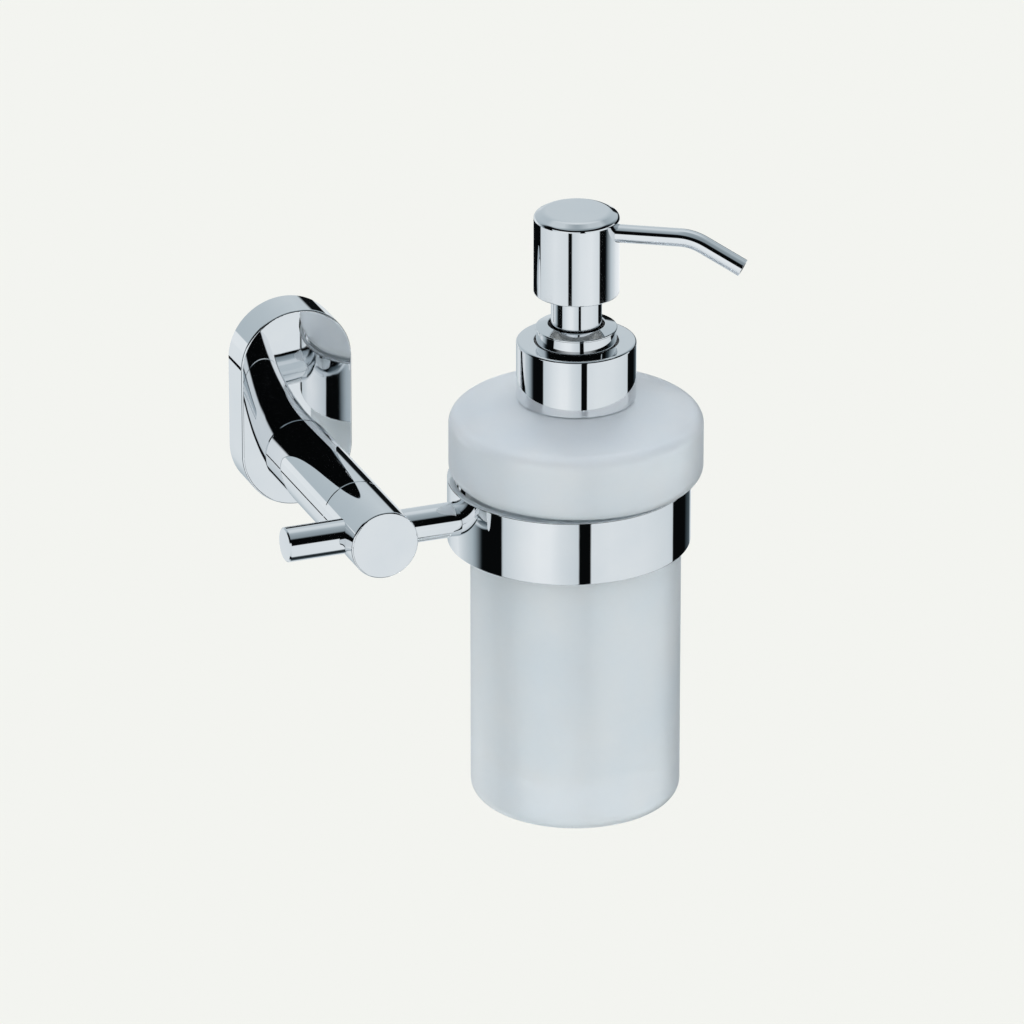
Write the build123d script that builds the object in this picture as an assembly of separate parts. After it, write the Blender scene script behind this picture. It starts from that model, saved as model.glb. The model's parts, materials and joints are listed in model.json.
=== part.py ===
from build123d import *
import math
import os

# Wall mounted soap dispenser: a glass lotion-pump bottle hangs by its shoulder in a ring,
# and the ring is carried by a cross rod and a straight arm on a stadium-shaped wall cover.
#
# Frame, in mm: the origin is the middle of the cover, on the wall plane. +Z is up, -Y
# stands out from the wall, and +X runs along the cross rod towards the ring.

# ---- Driving dimensions ----------------------------------------------------------------

# wall cover and bracket
plate_width = 33.5
plate_height = 60.0
plate_depth = 12.0
plate_wall = 2.0
plate_face = 2.5
plate_edge_round = 0.6
plate_crown_radius = 160.0
arm_land_radius = 9.7
bracket_thickness = 5.0
bracket_gap = 0.2
wall_hole_spacing = 36.0
wall_hole_radius = 2.5
wall_hole_sink_radius = 4.6

# arm
arm_radius = 10.0
arm_z = -14.0
arm_seam_y = -60.0
arm_front_y = -83.6
seam_chamfer = 0.25
arm_front_round = 0.6

# cross rod
rod_radius = 5.0
rod_y = -73.0
rod_free_end_x = -26.2
rod_end_chamfer = 0.4

# screws and studs: M6 in the arm, M4 elsewhere, drawn at their nominal sizes
m6_radius = 2.95
m6_bore_radius = 3.0
m4_radius = 1.95
m4_bore_radius = 2.0
hex_socket_radius = 1.3

# ring
ring_x = 59.5
ring_radius = 34.6
ring_wall = 2.0
ring_top_z = -6.0
ring_height = 18.8
ring_edge_round = 0.3

# bottle: it hangs against the far side of its play in the ring
bottle_x = 61.6
bottle_radius = 30.0
bottle_bottom_z = -104.4
bottle_bottom_round = 4.5
bottle_base = 14.0
bottle_wall = 3.0
shoulder_radius = 36.15
shoulder_round = 4.0
shoulder_seat_gap = 0.1
shoulder_slope_deg = 14.0
shoulder_top_z = 17.9
neck_radius = 12.5
neck_bore_radius = 10.3
neck_top_z = 31.1

# neck thread, of the 28 mm lotion-pump size
thread_pitch = 4.233
thread_start_z = 23.2
thread_turns = 1.25
thread_crest_radius = 13.7
closure_thread_turns = 1.5
closure_thread_crest_radius = 12.8

# collar
collar_radius = 17.0
collar_wall = 0.8
collar_bottom_z = 18.4
collar_top_z = 35.4
collar_hole_radius = 12.0
collar_edge_round = 0.7
closure_bore_radius = 14.0
closure_top = 1.45
closure_hole_radius = 12.2

# gland: its top slopes from the hole down to the lip, and its side tapers up to the lip
gland_lip_radius = 11.55
gland_lip_height = 0.6
gland_lip_z = 39.5
gland_waist_radius = 11.1
gland_foot_radius = 11.5
gland_top_z = 40.6
gland_hole_radius = 8.0

# pump
gasket_thickness = 1.0
flange_thickness = 0.9
flange_radius = 13.4
cup_radius = 9.9
cup_bore_radius = 8.5
cup_floor_z = 21.0
cup_top_z = 38.5
chamber_radius = 6.0
chamber_bore_radius = 5.0
chamber_floor_z = -30.0
tail_radius = 3.0
tail_bore_radius = 2.0
tail_bottom_z = -44.0
dip_tube_radius = 4.0
dip_tube_bottom_z = -84.4
inlet_ball_radius = 3.0
outlet_ball_radius = 2.3

# plunger
stem_radius = 4.0
stem_bore_radius = 2.0
stem_valve_bore_radius = 2.6
stem_valve_seat_z = 52.0
stem_bottom_z = -4.0
stem_top_z = 60.0
spring_seat_z = 40.5
spring_seat_thickness = 1.5
sleeve_radius = 7.2
sleeve_bore_radius = 6.6
sleeve_bottom_z = 32.0
sleeve_top_z = 55.5
piston_length = 8.0
running_gap = 0.05
spring_wire_radius = 0.5
spring_mean_radius = 5.9
spring_turns = 7

# head
head_radius = 12.1
head_wall = 1.0
head_bottom_z = 50.06
head_rim_z = 73.0
head_rim_round = 1.3
head_crown_radius = 9.4
head_crown_z = 74.5
head_crown_round = 3.0
head_top_z = 74.7
insert_bottom_z = 53.5
insert_top_z = 71.4

# spout
spout_radius = 2.58
spout_bore_radius = 1.8
spout_z = 68.42
spout_heading_deg = 38.0
spout_rise_deg = 2.6
spout_turn_deg = 28.8
spout_corner_out = 33.7
spout_tip_out = 48.4
spout_bend_radius = 14.0
spout_socket_out = 6.0

# ---- Places worked out from them -------------------------------------------------------

bottle_axis = Pos(bottle_x, rod_y, 0)
ring_outer_x = ring_x - ring_radius
ring_inner_x = ring_outer_x + ring_wall
ring_bottom_z = ring_top_z - ring_height
shoulder_seat_z = ring_top_z + shoulder_seat_gap
flange_bottom_z = neck_top_z + gasket_thickness
flange_top_z = flange_bottom_z + flange_thickness

# ---- Helpers ---------------------------------------------------------------------------


def lathe(*corners):
    """A solid turned about Z from (radius, z) or (radius, z, fillet) corners."""
    points = [(c[0], c[1]) for c in corners]
    rounds = [c[2] if len(c) > 2 else 0 for c in corners]
    outline = FilletPolyline(*points, radius=rounds, close=True)
    return revolve(Plane.XZ * make_face(outline), Axis.Z)


def rod_z(radius, low, high):
    """A round bar along Z."""
    return Pos(0, 0, low) * Cylinder(radius, high - low, align=(Align.CENTER, Align.CENTER, Align.MIN))


def tube_z(radius, bore, low, high):
    """A round tube along Z."""
    return rod_z(radius, low, high) - rod_z(bore, low, high)


def rod_y_at(radius, back, front, x=0.0, z=0.0):
    """A round bar along Y, from y = back out to y = front, which is the lower value."""
    bar = Cylinder(radius, back - front, align=(Align.CENTER, Align.CENTER, Align.MIN))
    return Pos(x, back, z) * Rot(90, 0, 0) * bar


def rod_x_at(radius, low, high, y=0.0, z=0.0):
    """A round bar along X."""
    bar = Cylinder(radius, high - low, align=(Align.CENTER, Align.CENTER, Align.MIN))
    return Pos(low, y, z) * Rot(0, 90, 0) * bar


def stadium(width, height, back, front):
    """An upright stadium, extruded out of the wall from y = back to y = front."""
    outline = SlotOverall(height, width, rotation=90)
    return extrude(Plane((0, back, 0), x_dir=(1, 0, 0), z_dir=(0, -1, 0)) * outline, back - front)


def hex_socket(depth):
    """The pocket of a hexagon key, along +Z from the origin."""
    return extrude(RegularPolygon(hex_socket_radius, 6), depth)


def grub_screw(low, high, point):
    """An M4 grub screw along Z, its key socket below and its cone point above."""
    body = lathe(
        (0, low),
        (m4_radius, low),
        (m4_radius, high - point),
        (m4_radius - point, high),
        (0, high),
    )
    return body - Pos(0, 0, low) * hex_socket(1.5)


def thread_ridge(root_radius, crest_radius, root_width, crest_width, start_z, turns):
    """A helical ridge with a trapezoid section, from its root to its crest."""
    mean_radius = (root_radius + crest_radius) / 2
    helix = Pos(0, 0, start_z) * Helix(thread_pitch, thread_pitch * turns, mean_radius)
    root, crest = root_radius - mean_radius, crest_radius - mean_radius
    section = make_face(
        Polyline(
            (root, -root_width / 2),
            (crest, -crest_width / 2),
            (crest, crest_width / 2),
            (root, root_width / 2),
            close=True,
        )
    )
    at_start = Plane(helix @ 0, x_dir=(1, 0, 0), z_dir=helix % 0)
    return sweep(at_start * section, path=helix, is_frenet=True)


# ---- Wall fixing -----------------------------------------------------------------------


def make_wall_bracket():
    width = plate_width - 2 * (plate_wall + bracket_gap)
    height = plate_height - 2 * (plate_wall + bracket_gap)
    bracket = stadium(width, height, 0, -bracket_thickness)
    bracket = chamfer(bracket.faces().sort_by(Axis.Y)[0].edges(), 0.8)
    sink_depth = wall_hole_sink_radius - wall_hole_radius
    for z in (-wall_hole_spacing / 2, wall_hole_spacing / 2):
        bracket -= rod_y_at(wall_hole_radius, 1, -bracket_thickness - 1, z=z)
        sink = Cone(wall_hole_radius, wall_hole_sink_radius, sink_depth)
        bracket -= Pos(0, -bracket_thickness + sink_depth / 2, z) * Rot(90, 0, 0) * sink
    dimple = rod_z(m4_bore_radius + 0.1, -height / 2 - 1, -height / 2 + 1.5)
    return bracket - Pos(0, -bracket_thickness / 2, 0) * dimple


def make_cover_plate():
    cover = stadium(plate_width, plate_height, 0, -plate_depth)
    cover &= Pos(0, plate_crown_radius - plate_depth, 0) * Cylinder(plate_crown_radius, plate_height + 2)
    cover = fillet(cover.faces().sort_by(Axis.Y)[0].edges(), plate_edge_round)
    inside_width = plate_width - 2 * plate_wall
    inside_height = plate_height - 2 * plate_wall
    cover -= stadium(inside_width, inside_height, 0, -(plate_depth - plate_face))
    cover += rod_y_at(arm_land_radius, -(plate_depth - plate_face), -plate_depth, z=arm_z)
    cover -= rod_y_at(m6_bore_radius + 0.1, 0, -plate_depth - 1, z=arm_z)
    grub_y = -bracket_thickness / 2
    return cover - Pos(0, grub_y, 0) * rod_z(m4_bore_radius, -plate_height / 2 - 1, -plate_height / 2 + 4)


def make_cover_grub_screw():
    low = -plate_height / 2 + 0.3
    return Pos(0, -bracket_thickness / 2, 0) * grub_screw(low, low + 3.2, 1.0)


# ---- Arm -------------------------------------------------------------------------------


def make_arm_screw():
    head_back = -(plate_depth - plate_face)
    screw = rod_y_at(5.0, head_back + 3.2, head_back, z=arm_z)
    screw += rod_y_at(m6_radius, head_back, head_back - 12, z=arm_z)
    socket = Pos(0, head_back + 3.2, arm_z) * Rot(90, 0, 0) * hex_socket(1.8)
    return screw - socket


def make_arm_post():
    post = rod_y_at(arm_radius, -plate_depth, arm_seam_y, z=arm_z)
    ends = post.faces().sort_by(Axis.Y)
    post = chamfer(ends[0].edges() + ends[-1].edges(), seam_chamfer)
    post -= rod_y_at(m6_bore_radius, -plate_depth, -plate_depth - 14, z=arm_z)
    return post - rod_y_at(m6_bore_radius, arm_seam_y + 8, arm_seam_y, z=arm_z)


def make_arm_stud():
    return rod_y_at(m6_radius, arm_seam_y + 7, arm_seam_y - 6.2, z=arm_z)


def make_arm_head():
    head = rod_y_at(arm_radius, arm_seam_y, arm_front_y, z=arm_z)
    head = chamfer(head.faces().sort_by(Axis.Y)[-1].edges(), seam_chamfer)
    head = fillet(head.faces().sort_by(Axis.Y)[0].edges(), arm_front_round)
    head -= rod_y_at(m6_bore_radius, arm_seam_y, arm_seam_y - 6.5, z=arm_z)
    head -= rod_x_at(rod_radius + 0.03, -arm_radius - 1, arm_radius + 1, y=rod_y, z=arm_z)
    return head - Pos(0, rod_y, 0) * rod_z(m4_bore_radius, arm_z - arm_radius - 1, arm_z)


def make_rod_grub_screw():
    low = arm_z - arm_radius + 0.4
    return Pos(0, rod_y, 0) * grub_screw(low, arm_z - rod_radius - 0.02, 0.8)


def make_cross_rod():
    rod = rod_x_at(rod_radius, rod_free_end_x, ring_x - ring_radius + 2, y=rod_y, z=arm_z)
    rod = chamfer(rod.faces().sort_by(Axis.X)[0].edges(), rod_end_chamfer)
    rod -= Pos(ring_x, rod_y, 0) * rod_z(ring_radius, ring_bottom_z - 5, ring_top_z + 5)
    return rod - rod_x_at(m4_bore_radius, ring_outer_x - 11, ring_outer_x + 3, y=rod_y, z=arm_z)


# ---- Ring ------------------------------------------------------------------------------


def make_holder_ring():
    ring = lathe(
        (ring_radius - ring_wall, ring_bottom_z, ring_edge_round),
        (ring_radius, ring_bottom_z, ring_edge_round),
        (ring_radius, ring_top_z, ring_edge_round),
        (ring_radius - ring_wall, ring_top_z, ring_edge_round),
    )
    ring = Pos(ring_x, rod_y, 0) * ring
    ring -= rod_x_at(m4_bore_radius + 0.15, ring_outer_x - 1, ring_inner_x + 1, y=rod_y, z=arm_z)
    sink = Cone(m4_bore_radius, 4.0, 2.0, align=(Align.CENTER, Align.CENTER, Align.MAX))
    return ring - Pos(ring_inner_x + 0.3, rod_y, arm_z) * Rot(0, 90, 0) * sink


def make_ring_screw():
    head = Cone(m4_radius, 3.6, 1.65, align=(Align.CENTER, Align.CENTER, Align.MAX))
    screw = Pos(ring_inner_x - 0.05, rod_y, arm_z) * Rot(0, 90, 0) * head
    screw += rod_x_at(m4_radius, ring_outer_x - 9.5, ring_inner_x - 1.7, y=rod_y, z=arm_z)
    socket = Pos(ring_inner_x - 0.05, rod_y, arm_z) * Rot(0, -90, 0) * hex_socket(1.2)
    return screw - socket


# ---- Bottle ----------------------------------------------------------------------------


def shoulder_z(radius):
    """Height of the sloping top of the shoulder at a radius."""
    return shoulder_top_z - (radius - collar_radius) * math.tan(math.radians(shoulder_slope_deg))


def make_bottle():
    inner_radius = bottle_radius - bottle_wall
    floor_z = bottle_bottom_z + bottle_base
    outside = lathe(
        (0, bottle_bottom_z),
        (bottle_radius, bottle_bottom_z, bottle_bottom_round),
        (bottle_radius, shoulder_seat_z),
        (shoulder_radius, shoulder_seat_z, shoulder_round),
        (shoulder_radius, shoulder_z(shoulder_radius), shoulder_round),
        (neck_radius, shoulder_z(neck_radius), 0.4),
        (neck_radius, neck_top_z, 0.4),
        (0, neck_top_z),
    )
    thread = thread_ridge(
        neck_radius - 0.2, thread_crest_radius, 2.4, 1.0, thread_start_z, thread_turns
    )
    inside = lathe(
        (0, floor_z),
        (inner_radius, floor_z, 4.0),
        (inner_radius, shoulder_z(inner_radius) - 4.0, 4.0),
        (neck_bore_radius, shoulder_z(neck_bore_radius) - 4.0),
        (neck_bore_radius, neck_top_z + 1),
        (0, neck_top_z + 1),
    )
    return bottle_axis * (outside + thread - inside)


# ---- Collar ----------------------------------------------------------------------------


def make_collar_shell():
    inner_radius = collar_radius - collar_wall
    return bottle_axis * lathe(
        (inner_radius, collar_bottom_z),
        (collar_radius, collar_bottom_z, 0.2),
        (collar_radius, collar_top_z, collar_edge_round),
        (collar_hole_radius, collar_top_z, 0.2),
        (collar_hole_radius, collar_top_z - collar_wall),
        (inner_radius, collar_top_z - collar_wall),
    )


def make_closure():
    outer_radius = collar_radius - collar_wall - running_gap
    top_z = collar_top_z - collar_wall - running_gap
    disc_bottom_z = top_z - closure_top
    bottom_z = collar_bottom_z + 0.6
    cap = lathe(
        (closure_bore_radius, bottom_z),
        (outer_radius, bottom_z),
        (outer_radius, top_z),
        (closure_hole_radius, top_z),
        (closure_hole_radius, disc_bottom_z),
        (closure_bore_radius, disc_bottom_z),
    )
    ridge = thread_ridge(
        closure_bore_radius + 0.2,
        closure_thread_crest_radius,
        2.0,
        0.9,
        thread_start_z - thread_pitch / 2,
        closure_thread_turns,
    )
    return bottle_axis * (cap + ridge)


# ---- Pump body -------------------------------------------------------------------------


def make_neck_gasket():
    return bottle_axis * tube_z(neck_radius + 0.4, cup_radius + 0.1, neck_top_z, flange_bottom_z)


def make_pump_housing():
    cup_under_z = cup_floor_z - 2.0
    chamber_under_z = chamber_floor_z - 2.0
    return bottle_axis * lathe(
        (cup_bore_radius, cup_floor_z),
        (cup_bore_radius, cup_top_z),
        (cup_radius, cup_top_z),
        (cup_radius, flange_top_z),
        (flange_radius, flange_top_z),
        (flange_radius, flange_bottom_z),
        (cup_radius, flange_bottom_z),
        (cup_radius, cup_under_z),
        (chamber_radius, cup_under_z),
        (chamber_radius, chamber_under_z, 1.5),
        (tail_radius, chamber_under_z),
        (tail_radius, tail_bottom_z),
        (tail_bore_radius, tail_bottom_z),
        (tail_bore_radius, chamber_floor_z),
        (chamber_bore_radius, chamber_floor_z),
        (chamber_bore_radius, cup_floor_z),
    )


def make_gland():
    lip_under_z = gland_lip_z - gland_lip_height
    return bottle_axis * lathe(
        (cup_radius, flange_top_z),
        (gland_foot_radius, flange_top_z),
        (gland_foot_radius, collar_top_z),
        (gland_waist_radius, lip_under_z),
        (gland_lip_radius, lip_under_z, 0.2),
        (gland_lip_radius, gland_lip_z, 0.3),
        (gland_hole_radius, gland_top_z, 0.3),
        (gland_hole_radius, cup_top_z),
        (cup_radius, cup_top_z),
    )


def make_dip_tube():
    tube_top_z = chamber_floor_z - 4.5
    return bottle_axis * tube_z(dip_tube_radius, tail_radius, dip_tube_bottom_z, tube_top_z)


def ball_on_seat(radius, seat_radius, seat_z):
    """A valve ball just above the round edge that it closes."""
    lift = math.sqrt(radius**2 - seat_radius**2) + running_gap
    return bottle_axis * Pos(0, 0, seat_z + lift) * Sphere(radius)


def make_inlet_ball():
    return ball_on_seat(inlet_ball_radius, tail_bore_radius, chamber_floor_z)


# ---- Plunger ---------------------------------------------------------------------------


def make_outlet_ball():
    return ball_on_seat(outlet_ball_radius, stem_bore_radius, stem_valve_seat_z)


def make_piston_stem():
    seat_top_z = spring_seat_z + spring_seat_thickness
    return bottle_axis * lathe(
        (stem_bore_radius, stem_bottom_z),
        (stem_radius, stem_bottom_z),
        (stem_radius, spring_seat_z),
        (sleeve_bore_radius, spring_seat_z),
        (sleeve_bore_radius, seat_top_z),
        (stem_radius, seat_top_z),
        (stem_radius, stem_top_z, 0.3),
        (stem_valve_bore_radius, stem_top_z),
        (stem_valve_bore_radius, stem_valve_seat_z),
        (stem_bore_radius, stem_valve_seat_z),
    )


def make_stem_sleeve():
    return bottle_axis * lathe(
        (sleeve_bore_radius, sleeve_bottom_z),
        (sleeve_radius, sleeve_bottom_z, 0.2),
        (sleeve_radius, sleeve_top_z, 0.2),
        (sleeve_bore_radius, sleeve_top_z),
    )


def make_piston():
    lip_radius = chamber_bore_radius - running_gap
    waist_radius = lip_radius - 0.45
    low = stem_bottom_z
    return bottle_axis * lathe(
        (stem_radius, low),
        (lip_radius, low),
        (lip_radius, low + 1.2),
        (waist_radius, low + 2.4),
        (waist_radius, low + piston_length - 2.4),
        (lip_radius, low + piston_length - 1.2),
        (lip_radius, low + piston_length),
        (stem_radius, low + piston_length),
    )


def make_return_spring():
    low = cup_floor_z + spring_wire_radius
    rise = spring_seat_z - spring_wire_radius - low
    helix = Pos(0, 0, low) * Helix(rise / spring_turns, rise, spring_mean_radius)
    wire = Plane(helix @ 0, x_dir=(1, 0, 0), z_dir=helix % 0) * Circle(spring_wire_radius)
    return bottle_axis * sweep(wire, path=helix, is_frenet=True)


# ---- Head and spout --------------------------------------------------------------------


def spout_point(out, z):
    """A point on the spout's upright plane, at a distance out from the pump's axis."""
    heading = math.radians(spout_heading_deg)
    return (out * math.cos(heading), -out * math.sin(heading), z)


def spout_line_z(out):
    """Height of the spout's first straight run."""
    return spout_z + out * math.tan(math.radians(spout_rise_deg))


def spout_bar(radius, start, end):
    """A straight round bar along the spout's first run."""
    run = Line(spout_point(start, spout_line_z(start)), spout_point(end, spout_line_z(end)))
    return sweep(Plane(run @ 0, z_dir=run % 0) * Circle(radius), path=run)


def make_pump_head():
    head = lathe(
        (head_radius - head_wall, head_bottom_z),
        (head_radius, head_bottom_z, 0.3),
        (head_radius, head_rim_z, head_rim_round),
        (head_crown_radius, head_crown_z, head_crown_round),
        (0, head_top_z),
        (0, head_top_z - head_wall),
        (head_crown_radius - 0.4, head_crown_z - head_wall),
        (head_radius - head_wall, head_rim_z - head_wall),
    )
    hole = spout_bar(spout_radius + 0.02, head_radius / 2, head_radius + 5)
    return bottle_axis * (head - hole)


def make_head_insert():
    core_radius = head_radius - head_wall - 0.02
    passage_top_z = spout_line_z(0) + spout_bore_radius
    core = rod_z(core_radius, insert_bottom_z, insert_top_z)
    core -= rod_z(sleeve_radius + running_gap, insert_bottom_z - 1, sleeve_top_z + 0.3)
    core -= rod_z(stem_radius + running_gap, insert_bottom_z - 1, stem_top_z + 0.3)
    core -= rod_z(spout_bore_radius, stem_top_z, passage_top_z)
    core -= spout_bar(spout_bore_radius, 0, head_radius)
    core -= spout_bar(spout_radius + 0.02, spout_socket_out, head_radius + 1)
    return bottle_axis * core


def make_spout():
    turn_down = math.radians(spout_turn_deg - spout_rise_deg)
    corner_z = spout_line_z(spout_corner_out)
    tip_z = corner_z - (spout_tip_out - spout_corner_out) * math.tan(turn_down)
    start_out = spout_socket_out + running_gap
    path = FilletPolyline(
        spout_point(start_out, spout_line_z(start_out)),
        spout_point(spout_corner_out, corner_z),
        spout_point(spout_tip_out, tip_z),
        radius=spout_bend_radius,
    )
    section = Circle(spout_radius) - Circle(spout_bore_radius)
    return bottle_axis * sweep(Plane(path @ 0, z_dir=path % 0) * section, path=path)


# ---- Every piece, one STEP file each ---------------------------------------------------

pieces = {
    "wall_bracket": make_wall_bracket,
    "cover_plate": make_cover_plate,
    "cover_grub_screw": make_cover_grub_screw,
    "arm_screw": make_arm_screw,
    "arm_post": make_arm_post,
    "arm_stud": make_arm_stud,
    "arm_head": make_arm_head,
    "rod_grub_screw": make_rod_grub_screw,
    "cross_rod": make_cross_rod,
    "ring_screw": make_ring_screw,
    "holder_ring": make_holder_ring,
    "bottle": make_bottle,
    "collar_shell": make_collar_shell,
    "closure": make_closure,
    "neck_gasket": make_neck_gasket,
    "pump_housing": make_pump_housing,
    "gland": make_gland,
    "dip_tube": make_dip_tube,
    "inlet_ball": make_inlet_ball,
    "outlet_ball": make_outlet_ball,
    "piston_stem": make_piston_stem,
    "stem_sleeve": make_stem_sleeve,
    "piston": make_piston,
    "return_spring": make_return_spring,
    "pump_head": make_pump_head,
    "head_insert": make_head_insert,
    "spout": make_spout,
}

os.makedirs("parts", exist_ok=True)
for name, make in pieces.items():
    export_step(make(), f"parts/{name}.step")
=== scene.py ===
import json
import math

import bpy
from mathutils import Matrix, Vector


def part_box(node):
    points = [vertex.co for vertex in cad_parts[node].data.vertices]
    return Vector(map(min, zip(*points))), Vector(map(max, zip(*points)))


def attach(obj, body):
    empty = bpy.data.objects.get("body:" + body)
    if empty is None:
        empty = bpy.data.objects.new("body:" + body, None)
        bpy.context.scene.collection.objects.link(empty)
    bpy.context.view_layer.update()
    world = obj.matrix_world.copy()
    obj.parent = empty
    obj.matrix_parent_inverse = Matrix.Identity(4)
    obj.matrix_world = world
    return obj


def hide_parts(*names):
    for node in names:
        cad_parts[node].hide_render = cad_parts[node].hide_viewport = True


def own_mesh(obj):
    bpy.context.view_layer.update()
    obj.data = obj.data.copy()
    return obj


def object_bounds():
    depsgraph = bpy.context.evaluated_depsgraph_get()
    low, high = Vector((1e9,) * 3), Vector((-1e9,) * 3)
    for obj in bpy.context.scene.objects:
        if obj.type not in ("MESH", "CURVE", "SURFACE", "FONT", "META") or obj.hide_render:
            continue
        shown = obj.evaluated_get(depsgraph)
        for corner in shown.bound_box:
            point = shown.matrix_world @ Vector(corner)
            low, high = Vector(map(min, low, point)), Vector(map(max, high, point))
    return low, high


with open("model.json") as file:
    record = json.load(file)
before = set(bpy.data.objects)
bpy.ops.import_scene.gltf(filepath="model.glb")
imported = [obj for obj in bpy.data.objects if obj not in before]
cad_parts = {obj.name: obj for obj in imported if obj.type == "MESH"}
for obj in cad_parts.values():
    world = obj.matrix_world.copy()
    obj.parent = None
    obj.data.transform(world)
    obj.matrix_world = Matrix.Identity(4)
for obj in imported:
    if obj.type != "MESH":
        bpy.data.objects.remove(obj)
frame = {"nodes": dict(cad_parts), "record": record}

cad_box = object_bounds()

# Wall mounted soap dispenser. The CAD nodes have their final shapes, so this script gives
# them their materials, puts a coil in the place of the return spring, and adds the studio:
# a floor, soft light and the surroundings that the chrome reflects.
# Named lengths are in metres and named angles in degrees, unless the name says otherwise.

# ---- Camera: the photograph's viewing angle --------------------------------------------

VIEW_AZIMUTH = -21.075
VIEW_ELEVATION = 23.421
VIEW_DISTANCE = 2.6542
VIEW_TARGET = Vector((0.04649, -0.0618, -0.01977))
VIEW_LENS_MM = 327.93
SENSOR_WIDTH_MM = 36.0
VIEW_REACH = 100.0


def make_camera():
    """The photo's camera: back points from the target to the camera."""
    azimuth, elevation = math.radians(VIEW_AZIMUTH), math.radians(VIEW_ELEVATION)
    back = Vector((
        math.sin(azimuth) * math.cos(elevation),
        -math.cos(azimuth) * math.cos(elevation),
        math.sin(elevation),
    ))
    data = bpy.data.cameras.new("photo_camera")
    data.lens = VIEW_LENS_MM
    data.sensor_width = SENSOR_WIDTH_MM
    data.clip_end = VIEW_REACH
    camera = bpy.data.objects.new("photo_camera", data)
    camera.location = VIEW_TARGET + back * VIEW_DISTANCE
    camera.rotation_euler = back.to_track_quat("Z", "Y").to_euler()
    bpy.context.scene.collection.objects.link(camera)
    bpy.context.scene.camera = camera


# ---- Node helpers ----------------------------------------------------------------------


class Nodes:
    """Builds one node tree, with short calls for the nodes that this script uses."""

    def __init__(self, tree):
        self.tree = tree

    def add(self, kind, **settings):
        node = self.tree.nodes.new(kind)
        for name, value in settings.items():
            setattr(node, name, value)
        return node

    def plug(self, value, socket):
        """Links an output to a socket, or sets the socket's own value."""
        if isinstance(value, bpy.types.NodeSocket):
            self.tree.links.new(value, socket)
        elif value is not None:
            socket.default_value = value

    def math(self, operation, a, b=None, c=None):
        node = self.add("ShaderNodeMath", operation=operation)
        for value, socket in zip((a, b, c), node.inputs):
            self.plug(value, socket)
        return node.outputs[0]

    def span(self, value, low, high, to_low=0.0, to_high=1.0):
        """Maps low..high to to_low..to_high, held at the ends."""
        node = self.add("ShaderNodeMapRange")
        node.inputs["From Min"].default_value = low
        node.inputs["From Max"].default_value = high
        node.inputs["To Min"].default_value = to_low
        node.inputs["To Max"].default_value = to_high
        self.plug(value, node.inputs["Value"])
        return node.outputs["Result"]

    def mix(self, factor, a, b):
        """The colour a where factor is 0, and b where it is 1."""
        node = self.add("ShaderNodeMix", data_type="RGBA")
        self.plug(factor, node.inputs["Factor"])
        self.plug(a, node.inputs["A"])
        self.plug(b, node.inputs["B"])
        return node.outputs["Result"]

    def ramp(self, factor, stops):
        """A colour ramp from (place, colour) stops."""
        node = self.add("ShaderNodeValToRGB")
        ramp = node.color_ramp
        while len(ramp.elements) > 1:
            ramp.elements.remove(ramp.elements[-1])
        ramp.elements[0].position = stops[0][0]
        ramp.elements[0].color = stops[0][1]
        for place, colour in stops[1:]:
            ramp.elements.new(place).color = colour
        self.plug(factor, node.inputs["Fac"])
        return node.outputs["Color"]

    def place(self, stretch=(1.0, 1.0, 1.0)):
        """The point on the object, in metres, multiplied per axis."""
        coords = self.add("ShaderNodeTexCoord").outputs["Object"]
        node = self.add("ShaderNodeMapping")
        node.inputs["Scale"].default_value = stretch
        self.plug(coords, node.inputs["Vector"])
        return node.outputs["Vector"]

    def noise(self, size, stretch=(1.0, 1.0, 1.0), detail=3.0, roughness=0.5):
        """Noise whose grains are about size metres across; a stretch under 1 draws them out."""
        node = self.add("ShaderNodeTexNoise")
        self.plug(self.place(stretch), node.inputs["Vector"])
        node.inputs["Scale"].default_value = 1.0 / size
        node.inputs["Detail"].default_value = detail
        node.inputs["Roughness"].default_value = roughness
        return node.outputs["Fac"]

    def bump(self, height, depth, under=None):
        """A bump whose full height is depth metres, on top of the one under it."""
        node = self.add("ShaderNodeBump")
        node.inputs["Strength"].default_value = 1.0
        node.inputs["Distance"].default_value = depth
        self.plug(height, node.inputs["Height"])
        self.plug(under, node.inputs["Normal"])
        return node.outputs["Normal"]


def new_material(name, **sockets):
    """A Principled material, its tree's helper and its shader node.

    The sockets are named as on the shader, with _ for each space."""
    material = bpy.data.materials.new(name)
    material.use_nodes = True
    nodes = Nodes(material.node_tree)
    shader = material.node_tree.nodes["Principled BSDF"]
    for socket, value in sockets.items():
        shader.inputs[socket.replace("_", " ")].default_value = value
    return material, nodes, shader


def add_mesh(name, points, faces, material):
    """A new mesh object in the scene."""
    mesh = bpy.data.meshes.new(name)
    mesh.from_pydata(points, [], faces)
    mesh.materials.append(material)
    piece = bpy.data.objects.new(name, mesh)
    bpy.context.scene.collection.objects.link(piece)
    return piece


# ---- Studio ----------------------------------------------------------------------------

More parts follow.
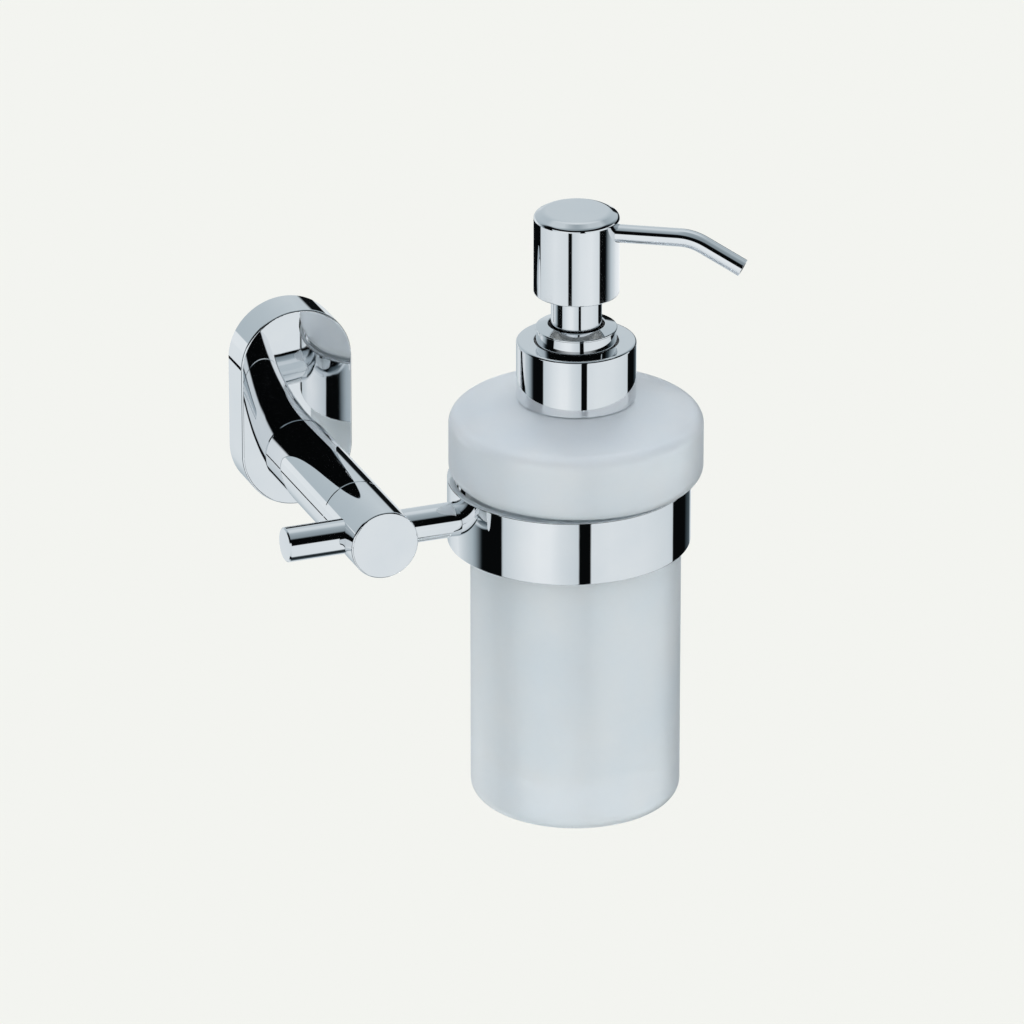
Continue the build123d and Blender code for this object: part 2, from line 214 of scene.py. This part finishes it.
# What mirror surfaces see round them: soft boxes, black gaps and a paler back. Each band is
# its lowest and highest elevation, and a list of (bearing, brightness). The bearing is 0
# towards the camera, 90 to the picture's right and 180 away from the camera, and the
# brightness is on the screen's scale. Between two bands the one blends into the other.
SOFT_BOXES = (
    (-66.5, 8), (-66, 200), (-45, 220), (-30, 229), (-18, 228), (-8, 216), (9, 203),
    (9.5, 8), (20.5, 8), (21, 216), (40, 220), (75, 218), (110, 208), (115.5, 202), (116, 8),
)
BANDS = (
    ((-90, -66), (
        (-180, 90), (-120, 160), (-60, 205), (20, 200), (60, 110), (94, 8),
        (120, 30), (150, 80), (180, 90),
    )),
    ((-62, -8), (
        (-180, 205), (-170, 172), (-155, 200), (-150, 210), (-130, 221), (-124, 208), (-105, 172),
        (-100, 145), (-92, 30), (-90, 8),
        *SOFT_BOXES, (143, 8), (146, 45), (160, 80), (164, 180), (172, 214), (180, 205),
    )),
    ((-6, 3), (
        (-180, 200), (-150, 218), (-130, 226), (-120, 208), (-105, 172), (-92, 30), (-90, 8),
        *SOFT_BOXES, (143, 8), (158, 20), (160, 14), (176, 14), (178, 190), (180, 200),
    )),
    ((4, 8), (
        (-180, 204), (-150, 186), (-130, 181), (-110, 160), (-98, 60), (-90, 8),
        *SOFT_BOXES, (143, 8), (158, 20), (160, 14), (176, 14), (178, 190), (180, 200),
    )),
    ((11, 46), (
        (-180, 197), (-150, 186), (-130, 181), (-112, 174), (-98, 50), (-92, 6), (96, 6),
        (110, 60), (130, 150), (150, 180), (180, 197),
    )),
    ((54, 70), (
        (-180, 214), (-120, 196), (-60, 160), (0, 140), (45, 138), (114, 172), (150, 206),
        (180, 214),
    )),
    ((80, 90), (
        (-180, 160), (0, 150), (180, 160),
    )),
)
SCREEN_WHITE = 255
CHROME_REFLECTANCE = 0.85
# How far the greys lean to blue, per channel: less and less towards black and white.
BLUE_CAST = (-10, 1, 7)
CAST_FULL_ABOVE = 60
CAST_FULL_BELOW = 180
FLOOR_COLOUR = (0.845, 0.846, 0.770, 1.0)
SOFT_LIGHT = (1.06, 1.07, 1.13, 1.0)
# What the camera sees beyond the floor: the colour of the lit floor.
BACKDROP = tuple(floor * light for floor, light in zip(FLOOR_COLOUR, SOFT_LIGHT))


def screen_to_light(level):
    """The light that a chrome surface turns into a brightness on the screen (sRGB)."""
    part = level / SCREEN_WHITE
    linear = part / 12.92 if part <= 0.04045 else ((part + 0.055) / 1.055) ** 2.4
    return linear / CHROME_REFLECTANCE


def band_stops(band):
    """A band as the stops of a colour ramp, which runs from bearing -180 to 180."""
    stops = []
    for bearing, level in band:
        fade = (SCREEN_WHITE - level) / (SCREEN_WHITE - CAST_FULL_BELOW)
        cast = min(1.0, fade, level / CAST_FULL_ABOVE)
        light = [screen_to_light(level + cast * lean) for lean in BLUE_CAST]
        stops.append(((bearing + 180) / 360, (*light, 1.0)))
    return stops


def make_world():
    """Even soft light for matt and clear surfaces, and the bands for mirror surfaces."""
    world = bpy.data.worlds.new("studio")
    world.use_nodes = True
    nodes = Nodes(world.node_tree)
    background = world.node_tree.nodes["Background"]
    direction = nodes.add("ShaderNodeTexCoord").outputs["Generated"]
    turned = nodes.add("ShaderNodeVectorRotate", rotation_type="Z_AXIS")
    nodes.plug(direction, turned.inputs["Vector"])
    turned.inputs["Angle"].default_value = -math.radians(VIEW_AZIMUTH)
    split = nodes.add("ShaderNodeSeparateXYZ")
    nodes.plug(turned.outputs["Vector"], split.inputs["Vector"])
    forward = nodes.math("MULTIPLY", split.outputs["Y"], -1.0)
    bearing = nodes.math("ARCTAN2", split.outputs["X"], forward)
    turn = nodes.math("MULTIPLY_ADD", bearing, 0.5 / math.pi, 0.5)
    elevation = nodes.math("MULTIPLY", nodes.math("ARCSINE", split.outputs["Z"]), 180 / math.pi)
    seen = nodes.ramp(turn, band_stops(BANDS[0][1]))
    for (below, _), (above, band) in zip(BANDS, BANDS[1:]):
        part = nodes.span(elevation, below[1], above[0])
        seen = nodes.mix(part, seen, nodes.ramp(turn, band_stops(band)))
    # A ray that goes through frosted glass counts as glossy too, and has to see the soft light.
    path = nodes.add("ShaderNodeLightPath")
    glossy, through = path.outputs["Is Glossy Ray"], path.outputs["Is Transmission Ray"]
    around = nodes.mix(nodes.math("SUBTRACT", glossy, through), SOFT_LIGHT, seen)
    shown = nodes.mix(path.outputs["Is Camera Ray"], around, BACKDROP)
    nodes.plug(shown, background.inputs["Color"])
    bpy.context.scene.world = world


# The object hangs on a wall, so the floor lies far below it.
FLOOR_DROP = 3.0
FLOOR_HALF = 30.0


def make_floor():
    """A plain pale floor that mirror surfaces don't see."""
    low = cad_box[0][2] - FLOOR_DROP
    corners = [
        (x * FLOOR_HALF, y * FLOOR_HALF, low) for x, y in ((-1, -1), (1, -1), (1, 1), (-1, 1))
    ]
    material, _, _ = new_material(
        "floor", Base_Color=FLOOR_COLOUR, Roughness=1.0, Specular_IOR_Level=0.0
    )
    floor = add_mesh("floor", corners, [(0, 1, 2, 3)], material)
    floor.visible_glossy = False


# The pump's head sees the same surroundings the other way round: a wide, narrow ring of cards
# lies low, where the head's side reflects it and hardly anything else does. Its heights are
# from the frame's origin.
CARD_RADIUS = 1.2
CARD_SEGMENTS = 96
CARD_TOP = -0.392
CARD_BOTTOM = -0.4352
CARD_STOPS = (
    (-180, 70), (-160, 12), (-136, 8), (-113, 8), (-112, 207), (-60, 222), (-23, 215),
    (-22, 8), (-13, 8), (-12, 205), (10, 222), (40, 226), (63, 214), (64, 8), (83, 8),
    (86, 49), (105, 190), (130, 226), (180, 238),
)


def make_cards():
    """The ring of cards, which only reflections see."""
    head_low, head_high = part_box("pump_head")
    centre_x, centre_y = (head_low[0] + head_high[0]) / 2, (head_low[1] + head_high[1]) / 2
    points, faces = [], []
    for i in range(CARD_SEGMENTS):
        angle = 2 * math.pi * i / CARD_SEGMENTS
        x, y = math.sin(angle) * CARD_RADIUS, -math.cos(angle) * CARD_RADIUS
        points += [(x, y, CARD_BOTTOM), (x, y, CARD_TOP)]
        after = (i + 1) % CARD_SEGMENTS
        faces.append((2 * i, 2 * after, 2 * after + 1, 2 * i + 1))
    material = bpy.data.materials.new("head_cards")
    material.use_nodes = True
    nodes = Nodes(material.node_tree)
    split = nodes.add("ShaderNodeSeparateXYZ")
    nodes.plug(nodes.place(), split.inputs["Vector"])
    forward = nodes.math("MULTIPLY", split.outputs["Y"], -1.0)
    bearing = nodes.math("ARCTAN2", split.outputs["X"], forward)
    turn = nodes.math("MULTIPLY_ADD", bearing, 0.5 / math.pi, 0.5 - VIEW_AZIMUTH / 360)
    glow = nodes.add("ShaderNodeEmission")
    colour = nodes.ramp(nodes.math("FRACT", turn), band_stops(CARD_STOPS))
    nodes.plug(colour, glow.inputs["Color"])
    output = material.node_tree.nodes["Material Output"]
    nodes.plug(glow.outputs["Emission"], output.inputs["Surface"])
    cards = add_mesh("head_cards", points, faces, material)
    cards.location = (centre_x, centre_y, 0.0)
    cards.visible_camera = False
    cards.visible_diffuse = False
    cards.visible_transmission = False
    cards.visible_shadow = False


# ---- Materials -------------------------------------------------------------------------


# Roughness of the plate's clearest spots, and what the clouds and the wipe marks add to it.
CHROME_ROUGHNESS = 0.012
CHROME_CLOUD_HAZE = 0.012
CHROME_WIPE_HAZE = 0.02


def polished_chrome():
    """Mirror chrome plate: faint orange peel, cloudy polish and a few finer wipe marks."""
    material, nodes, shader = new_material("polished_chrome", Metallic=1.0)
    cloud = nodes.noise(size=0.012)
    wipe = nodes.noise(size=0.004, stretch=(1.0, 1.0, 0.15), detail=5.0)
    peel = nodes.noise(size=0.006, detail=1.0)
    tint = nodes.span(cloud, 0.3, 0.7)
    colour = nodes.mix(tint, (0.815, 0.835, 0.855, 1), (0.85, 0.862, 0.875, 1))
    clouded, wiped = nodes.span(cloud, 0.35, 0.75), nodes.span(wipe, 0.5, 0.8)
    polish = nodes.math("MULTIPLY_ADD", clouded, CHROME_CLOUD_HAZE, CHROME_ROUGHNESS)
    polish = nodes.math("MULTIPLY_ADD", wiped, CHROME_WIPE_HAZE, polish)
    nodes.plug(colour, shader.inputs["Base Color"])
    nodes.plug(polish, shader.inputs["Roughness"])
    nodes.plug(nodes.bump(peel, depth=4e-6), shader.inputs["Normal"])
    return material


def plain_steel():
    """Turned stainless steel: fine rings and a dull, uneven polish."""
    material, nodes, shader = new_material("plain_steel", Metallic=1.0)
    cloud = nodes.noise(size=0.003)
    rings = nodes.noise(size=0.0006, stretch=(0.1, 0.1, 3.0), detail=4.0)
    colour = nodes.mix(cloud, (0.50, 0.50, 0.49, 1), (0.66, 0.66, 0.65, 1))
    polish = nodes.span(rings, 0.2, 0.8, to_low=0.22, to_high=0.42)
    nodes.plug(colour, shader.inputs["Base Color"])
    nodes.plug(polish, shader.inputs["Roughness"])
    nodes.plug(nodes.bump(rings, depth=8e-6), shader.inputs["Normal"])
    return material


def cast_bracket():
    """Tumbled zinc casting: soft dents, a grainy skin and darker hollows."""
    material, nodes, shader = new_material("cast_bracket", Metallic=1.0)
    dents = nodes.noise(size=0.004, detail=2.0)
    grain = nodes.noise(size=0.0005, detail=5.0, roughness=0.6)
    colour = nodes.ramp(dents, ((0.3, (0.44, 0.45, 0.46, 1)), (0.7, (0.62, 0.63, 0.64, 1))))
    polish = nodes.span(grain, 0.3, 0.7, to_low=0.38, to_high=0.58)
    dented = nodes.bump(dents, depth=6e-5)
    nodes.plug(colour, shader.inputs["Base Color"])
    nodes.plug(polish, shader.inputs["Roughness"])
    nodes.plug(nodes.bump(grain, depth=2.5e-5, under=dented), shader.inputs["Normal"])
    return material


# Surfaces that run through the bottle's wall: what lies within them is the bottle's inside.
# The floor's height is from the bottle's foot, and the shoulder's is from the frame's origin.
WALL_MIDDLE_RADIUS = 0.0285
NECK_MIDDLE_RADIUS = 0.0114
FLOOR_MIDDLE_HEIGHT = 0.007
SHOULDER_MIDDLE_HEIGHT = 0.0159
SHOULDER_START_RADIUS = 0.017
SHOULDER_SLOPE = math.tan(math.radians(14))


def bottle_inside(nodes):
    """1 on the smooth inside of the bottle and 0 on its frosted outside."""
    low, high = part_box("bottle")
    axis_x, axis_y = (low[0] + high[0]) / 2, (low[1] + high[1]) / 2
    split = nodes.add("ShaderNodeSeparateXYZ")
    nodes.plug(nodes.place(), split.inputs["Vector"])
    x = nodes.math("SUBTRACT", split.outputs["X"], axis_x)
    y = nodes.math("SUBTRACT", split.outputs["Y"], axis_y)
    z = split.outputs["Z"]
    radius = nodes.math("SQRT", nodes.math("MULTIPLY_ADD", x, x, nodes.math("MULTIPLY", y, y)))
    outward = nodes.math("SUBTRACT", radius, SHOULDER_START_RADIUS)
    drop = nodes.math("MULTIPLY", outward, SHOULDER_SLOPE)
    roof = nodes.math("SUBTRACT", SHOULDER_MIDDLE_HEIGHT, drop)
    in_wall = nodes.math("LESS_THAN", radius, WALL_MIDDLE_RADIUS)
    over_floor = nodes.math("GREATER_THAN", z, low[2] + FLOOR_MIDDLE_HEIGHT)
    under_roof = nodes.math("LESS_THAN", z, roof)
    in_neck = nodes.math("LESS_THAN", radius, NECK_MIDDLE_RADIUS)
    in_body = nodes.math("MULTIPLY", nodes.math("MULTIPLY", in_wall, over_floor), under_roof)
    return nodes.math("MAXIMUM", in_body, in_neck)


# Roughness that the clouds add to the etched skin, and how much of it the inside is without.
ETCH_CLOUD_HAZE = 0.05
INSIDE_CLEARNESS = 0.8


def frosted_glass():
    """Acid-frosted glass: a fine etched grain outside, soft clouds, and a clear inside."""
    material, nodes, shader = new_material(
        "frosted_glass", IOR=1.5, Transmission_Weight=0.46, Specular_IOR_Level=1.0,
        Coat_IOR=1.8, Coat_Roughness=0.32,
    )
    cloud = nodes.noise(size=0.020, detail=4.0)
    grain = nodes.noise(size=0.00035, detail=3.0, roughness=0.7)
    clouded = nodes.span(cloud, 0.3, 0.7)
    colour = nodes.mix(clouded, (0.860, 0.940, 0.980, 1), (0.945, 0.99, 1.0, 1))
    inside = bottle_inside(nodes)
    outside = nodes.math("SUBTRACT", 1.0, inside)
    etched = nodes.span(grain, 0.25, 0.75, to_low=0.40, to_high=0.52)
    etched = nodes.math("MULTIPLY_ADD", clouded, ETCH_CLOUD_HAZE, etched)
    kept = nodes.math("SUBTRACT", 1.0, nodes.math("MULTIPLY", inside, INSIDE_CLEARNESS))
    frost = nodes.math("MULTIPLY", grain, outside)
    nodes.plug(colour, shader.inputs["Base Color"])
    nodes.plug(nodes.math("MULTIPLY", etched, kept), shader.inputs["Roughness"])
    nodes.plug(outside, shader.inputs["Coat Weight"])
    nodes.plug(nodes.bump(frost, depth=1.2e-5), shader.inputs["Normal"])
    return material


PLASTIC_GRAIN_HAZE = 0.14


def moulded_plastic(name, dark, light, grain_size, shine):
    """Moulded plastic: a sparked mould's grain, flow clouds and an uneven sheen.

    Its roughness is shine between the grains and PLASTIC_GRAIN_HAZE more on them."""
    material, nodes, shader = new_material(name)
    flow = nodes.noise(size=0.009, stretch=(1.0, 1.0, 0.4))
    grain = nodes.noise(grain_size, detail=4.0, roughness=0.6)
    colour = nodes.mix(nodes.span(flow, 0.3, 0.7), dark, light)
    polish = nodes.span(grain, 0.25, 0.75, to_low=shine, to_high=shine + PLASTIC_GRAIN_HAZE)
    nodes.plug(colour, shader.inputs["Base Color"])
    nodes.plug(polish, shader.inputs["Roughness"])
    nodes.plug(nodes.bump(grain, depth=6e-6), shader.inputs["Normal"])
    return material


def white_plastic():
    """The closure's, the housing's and the head core's white plastic."""
    return moulded_plastic(
        "white_plastic", (0.80, 0.80, 0.78, 1), (0.87, 0.87, 0.85, 1), grain_size=0.00025,
        shine=0.34,
    )


def piston_plastic():
    """The softer, bluish plastic of the piston."""
    return moulded_plastic(
        "piston_plastic", (0.74, 0.77, 0.80, 1), (0.82, 0.85, 0.87, 1), grain_size=0.0004,
        shine=0.28,
    )


def clear_tube():
    """Extruded tube: milky, with draw lines along it."""
    material, nodes, shader = new_material("clear_tube", Transmission_Weight=0.6, IOR=1.49)
    lines = nodes.noise(size=0.0008, stretch=(1.0, 1.0, 0.02), detail=3.0)
    colour = nodes.mix(lines, (0.80, 0.83, 0.83, 1), (0.90, 0.92, 0.92, 1))
    polish = nodes.span(lines, 0.3, 0.7, to_low=0.18, to_high=0.32)
    nodes.plug(colour, shader.inputs["Base Color"])
    nodes.plug(polish, shader.inputs["Roughness"])
    nodes.plug(nodes.bump(lines, depth=1.5e-5), shader.inputs["Normal"])
    return material


SEAL_PORE_SIZE = 0.0004


def seal_foam():
    """Closed-cell foam of the neck seal: small pores in a matt skin."""
    material, nodes, shader = new_material("seal_foam", Specular_IOR_Level=0.3)
    pores = nodes.add("ShaderNodeTexVoronoi", feature="SMOOTH_F1")
    pores.inputs["Scale"].default_value = 1.0 / SEAL_PORE_SIZE
    nodes.plug(nodes.place(), pores.inputs["Vector"])
    distance = pores.outputs["Distance"]
    cell = nodes.span(distance, 0.0, 0.5)
    colour = nodes.mix(cell, (0.62, 0.62, 0.60, 1), (0.80, 0.80, 0.77, 1))
    polish = nodes.span(distance, 0.0, 0.6, to_low=0.65, to_high=0.85)
    nodes.plug(colour, shader.inputs["Base Color"])
    nodes.plug(polish, shader.inputs["Roughness"])
    nodes.plug(nodes.bump(cell, depth=5e-5), shader.inputs["Normal"])
    return material


SLOT_MATERIALS = {
    "polished_chrome": polished_chrome,
    "plain_steel": plain_steel,
    "cast_bracket": cast_bracket,
    "frosted_glass": frosted_glass,
    "white_plastic": white_plastic,
    "clear_tube": clear_tube,
    "piston_plastic": piston_plastic,
    "seal_rubber": seal_foam,
}


def dress_nodes():
    """Gives each CAD node the material of its slot in the record."""
    made = {slot: make() for slot, make in SLOT_MATERIALS.items()}
    for subpart in frame["record"]["subparts"]:
        node = frame["nodes"][subpart["node"]]
        node.data.materials.clear()
        node.data.materials.append(made[subpart["material_slot"]])
    return made


# ---- Return spring ---------------------------------------------------------------------

SPRING_TURNS = 7
SPRING_WIRE_RADIUS = 0.0005
SPRING_STEPS_PER_TURN = 36
SPRING_WIRE_SIDES = 12


def make_spring(material):
    """The return spring, as a coil in its place."""
    low, high = (Vector(corner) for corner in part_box("return_spring"))
    foot = Vector(((low.x + high.x) / 2, (low.y + high.y) / 2, low.z))
    coil_radius = (high.x - low.x) / 2 - SPRING_WIRE_RADIUS
    rise = high.z - low.z - 2 * SPRING_WIRE_RADIUS
    run = 2 * math.pi * SPRING_TURNS * coil_radius
    steps, sides = SPRING_TURNS * SPRING_STEPS_PER_TURN, SPRING_WIRE_SIDES
    points, faces = [], []
    for i in range(steps + 1):
        angle = 2 * math.pi * i / SPRING_STEPS_PER_TURN
        out = Vector((math.cos(angle), math.sin(angle), 0.0))
        along = Vector((-out.y * run, out.x * run, rise)).normalized()
        across = out.cross(along)
        up = Vector((0.0, 0.0, SPRING_WIRE_RADIUS + rise * i / steps))
        centre = foot + out * coil_radius + up
        for k in range(sides):
            turn = 2 * math.pi * k / sides
            aside = out * math.cos(turn) + across * math.sin(turn)
            points.append(centre + aside * SPRING_WIRE_RADIUS)
    for i in range(steps):
        for k in range(sides):
            a, b = i * sides + k, i * sides + (k + 1) % sides
            faces.append((b, a, a + sides, b + sides))
    # the wire's two cut ends
    faces.append(tuple(range(sides)))
    faces.append(tuple(reversed(range(steps * sides, (steps + 1) * sides))))
    coil = add_mesh("spring_coil", points, faces, material)
    coil.data.polygons.foreach_set("use_smooth", [True] * len(faces))
    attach(coil, "pump")
    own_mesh(coil)
    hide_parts("return_spring")


bpy.context.scene.view_settings.view_transform = "Standard"
make_camera()
make_world()
make_floor()
make_cards()
slot_materials = dress_nodes()
make_spring(slot_materials["plain_steel"])
